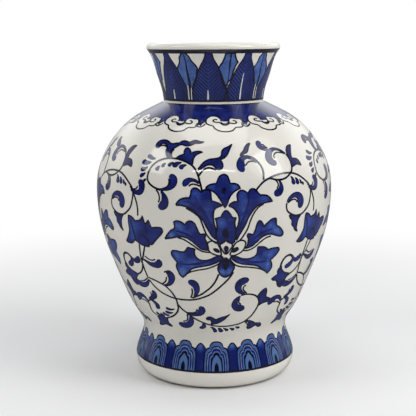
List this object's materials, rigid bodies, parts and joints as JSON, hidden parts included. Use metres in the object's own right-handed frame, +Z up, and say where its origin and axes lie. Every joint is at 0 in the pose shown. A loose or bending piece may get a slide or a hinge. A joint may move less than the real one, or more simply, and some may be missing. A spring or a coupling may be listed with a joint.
{
  "type": "pottery vase",
  "caption": "Wide-shouldered glazed pottery vase with a flared neck, rolled lip and flared foot, hollow and open at the top, for flowers or display.",
  "frame": {"origin": "centre of the foot, on the surface the vase stands on", "axes": "+Z up the vase's axis towards the mouth; -Y faces the viewer of the main flower"},
  "size_m": [0.2118, 0.2118, 0.2984],
  "materials": {
    "fired_clay": "bare, fired and sponged",
    "joining_slip": "fired slip",
    "white_glaze": "gloss glaze, warm grey white",
    "cobalt_outline": "near-black cobalt brush line under gloss glaze",
    "cobalt_deep": "deep cobalt fill under gloss glaze",
    "cobalt_wash": "pale cobalt wash under gloss glaze"
  },
  "bodies": {
    "root": {"foot_ring": "fired_clay", "floor_disc": "fired_clay", "lower_body": "fired_clay", "shoulder": "fired_clay", "neck": "fired_clay", "lip": "fired_clay", "floor_slip": "joining_slip", "waist_slip": "joining_slip", "belly_slip": "joining_slip", "neck_slip": "joining_slip", "lip_slip": "joining_slip", "outer_glaze": "white_glaze", "inner_glaze": "white_glaze", "recess_glaze": "white_glaze"}
  },
  "joints": []
}
